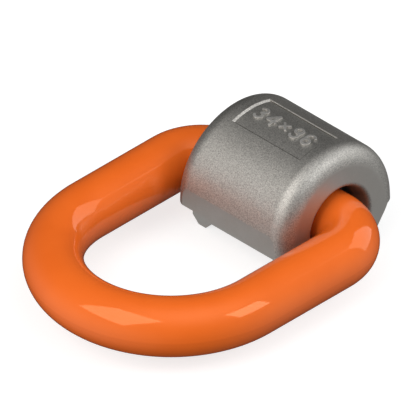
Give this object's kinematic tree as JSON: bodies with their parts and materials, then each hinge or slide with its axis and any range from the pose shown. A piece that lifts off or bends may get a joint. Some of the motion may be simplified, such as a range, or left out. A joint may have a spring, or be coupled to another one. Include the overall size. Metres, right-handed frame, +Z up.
{
  "type": "weld-on lifting ring",
  "caption": "Forged D-shaped lifting ring that folds about its straight bar inside a half-round forged weld-on bracket.",
  "frame": {"origin": "middle of the weld footprint, on the plane of the bracket's four distance lugs, which is the surface of the plate it is welded to", "axes": "+X along the ring's straight bar, +Y away from the ring as it lies at rest (the ring's crown points to -Y), +Z up out of the plate"},
  "size_m": [0.164, 0.215, 0.0719],
  "materials": {
    "coated_ring": "smooth glossy orange powder coat on forged alloy steel",
    "forged_bracket": "shot-blasted forged alloy steel, unpainted, smooth where it is trimmed",
    "spring_steel": "blued spring-steel strip"
  },
  "bodies": {
    "bracket": {"weld_on_bracket": "forged_bracket", "clamping_spring_left": "spring_steel", "clamping_spring_right": "spring_steel"},
    "ring": {"lifting_ring": "coated_ring"}
  },
  "joints": [
    {"name": "ring_fold", "type": "hinge", "parent": "bracket", "child": "ring", "pos_m": [0, 0, 0.0269], "axis": [-1, 0, 0], "range_deg": [-3.5, 183.5]}
  ]
}
